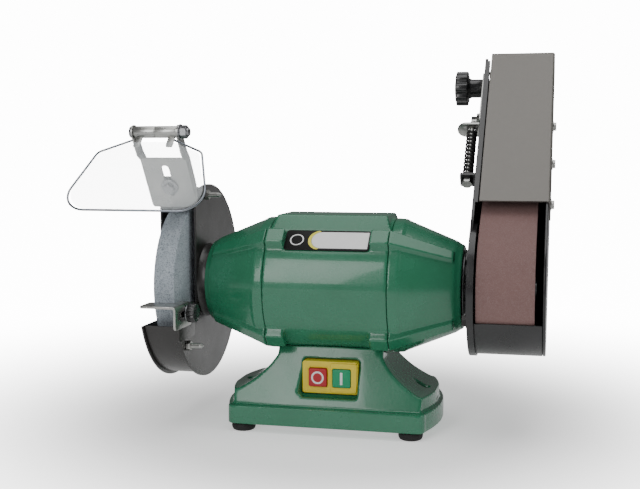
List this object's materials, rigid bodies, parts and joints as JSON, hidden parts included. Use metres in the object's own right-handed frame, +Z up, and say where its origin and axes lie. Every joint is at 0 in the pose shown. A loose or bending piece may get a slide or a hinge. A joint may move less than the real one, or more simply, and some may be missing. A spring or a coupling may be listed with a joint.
{
  "type": "bench grinder with belt sanding arm",
  "caption": "Bench grinder on a cast pedestal: guarded grinding wheel with tool rest and hinged eye shield at one end, tilting abrasive belt arm at the other.",
  "frame": {"origin": "middle of the machine's footprint at bench level", "axes": "+X along the spindle towards the belt arm, +Y to the back, +Z up"},
  "size_m": [0.4, 0.3392, 0.3522],
  "materials": {
    "green_enamel": "glossy green enamel on cast metal",
    "black_paint": "semi-gloss black paint on sheet steel",
    "spring_black": "blackened spring steel",
    "satin_grey": "satin metallic grey",
    "zinc_plate": "zinc plated",
    "bright_wire": "bright wire",
    "bare_steel": "machined",
    "core_iron": "laminated",
    "copper_winding": "lacquered copper wire",
    "black_plastic": "glossy",
    "plate_black": "printed plate",
    "pale_plastic": "matte",
    "pale_sheet": "galvanised",
    "drum_rubber": "matte",
    "foot_rubber": "matte",
    "switch_yellow": "satin",
    "stop_red": "satin",
    "start_green": "satin",
    "grey_abrasive": "coarse bonded grit",
    "brown_abrasive": "coated grit on cloth",
    "clear_lens": "clear"
  },
  "bodies": {
    "frame": {"motor_housing": "green_enamel", "end_bell_right": "green_enamel", "end_bell_left": "green_enamel", "nameplate": "plate_black", "stator_core": "core_iron", "winding_left": "copper_winding", "winding_right": "copper_winding", "bearing_left": "bare_steel", "bearing_right": "bare_steel", "wheel_guard": "black_paint", "guard_cover": "black_paint", "guard_screw_1": "zinc_plate", "guard_nut_1": "zinc_plate", "guard_screw_2": "zinc_plate", "guard_nut_2": "zinc_plate", "guard_screw_3": "zinc_plate", "guard_nut_3": "zinc_plate", "rest_bracket": "black_paint", "bracket_bolt": "zinc_plate", "arm_flange": "black_paint", "base_pedestal": "green_enamel", "bottom_cover": "pale_sheet", "foot_front_left": "foot_rubber", "foot_front_right": "foot_rubber", "foot_rear_left": "foot_rubber", "foot_rear_right": "foot_rubber", "capacitor": "pale_plastic", "cable_gland": "black_plastic", "switch_housing": "switch_yellow"},
    "spindle": {"spindle_shaft": "bare_steel", "rotor_core": "core_iron", "wheel_flange_inner": "bare_steel", "grinding_wheel": "grey_abrasive", "wheel_flange_outer": "bare_steel", "wheel_nut": "zinc_plate", "drive_drum": "drum_rubber", "drum_nut": "zinc_plate"},
    "stop_button": {"button_stop": "stop_red"},
    "start_button": {"button_start": "start_green"},
    "rest": {"tool_rest": "zinc_plate"},
    "rest_clamp_knob": {"rest_knob": "black_plastic"},
    "bracket": {"shield_bracket": "zinc_plate", "hinge_pin": "zinc_plate"},
    "shield": {"shield_frame": "bright_wire", "shield_lens": "clear_lens", "shield_clip": "zinc_plate"},
    "arm": {"arm_plate": "black_paint", "arm_band": "black_paint", "outer_cover": "black_paint", "front_cover": "satin_grey", "platen": "bare_steel", "belt": "brown_abrasive", "spring_bracket": "black_paint", "tension_bolt": "zinc_plate", "arm_clamp_bolt": "zinc_plate", "tension_spring": "spring_black"},
    "carriage": {"tension_slide": "zinc_plate"},
    "idler": {"idler_roller": "bare_steel"},
    "knob": {"tracking_knob": "black_plastic"}
  },
  "joints": [
    {"name": "spindle_spin", "type": "hinge", "parent": "frame", "child": "spindle", "pos_m": [0.00617, -0.01777, 0.1305], "axis": [1, 0, 0], "continuous": true},
    {"name": "arm_tilt", "type": "hinge", "parent": "frame", "child": "arm", "pos_m": [0.00617, -0.01777, 0.1305], "axis": [-1, 0, 0], "range_deg": [-45, 45]},
    {"name": "belt_tension", "type": "slide", "parent": "arm", "child": "carriage", "axis": [0, 0.7071, 0.7071], "range_m": [-0.012, 0], "stiffness_N_per_m": 1500, "springref_m": 0.02, "deforming": ["tension_spring"]},
    {"name": "idler_spin", "type": "hinge", "parent": "carriage", "child": "idler", "pos_m": [0.00617, 0.13638, 0.28465], "axis": [1, 0, 0], "continuous": true},
    {"name": "tracking_turn", "type": "hinge", "parent": "carriage", "child": "knob", "pos_m": [0.00617, 0.12719, 0.31788], "axis": [1, 0, 0], "range_deg": [-180, 180]},
    {"name": "stop_press", "type": "slide", "parent": "frame", "child": "stop_button", "axis": [0, 1, 0], "range_m": [0, 0.003], "stiffness_N_per_m": 500, "springref_m": -0.002},
    {"name": "start_press", "type": "slide", "parent": "frame", "child": "start_button", "axis": [0, 1, 0], "range_m": [0, 0.003], "stiffness_N_per_m": 500, "springref_m": -0.002},
    {"name": "rest_slide", "type": "slide", "parent": "frame", "child": "rest", "axis": [0, 1, 0], "range_m": [-0.006, 0.002]},
    {"name": "rest_knob_turn", "type": "hinge", "parent": "frame", "child": "rest_clamp_knob", "pos_m": [0.00617, -0.09277, 0.1095], "axis": [1, 0, 0], "range_deg": [-180, 180]},
    {"name": "bracket_slide", "type": "slide", "parent": "frame", "child": "bracket", "axis": [0, -0.5592, 0.829], "range_m": [-0.007, 0]},
    {"name": "shield_tilt", "type": "hinge", "parent": "bracket", "child": "shield", "pos_m": [-0.13653, -0.1079, 0.2704], "axis": [-1, 0, 0], "range_deg": [-25, 100]}
  ],
  "couplings": [
    {"joint": "idler_spin", "follows": "spindle_spin", "ratio": 2.6667}
  ]
}
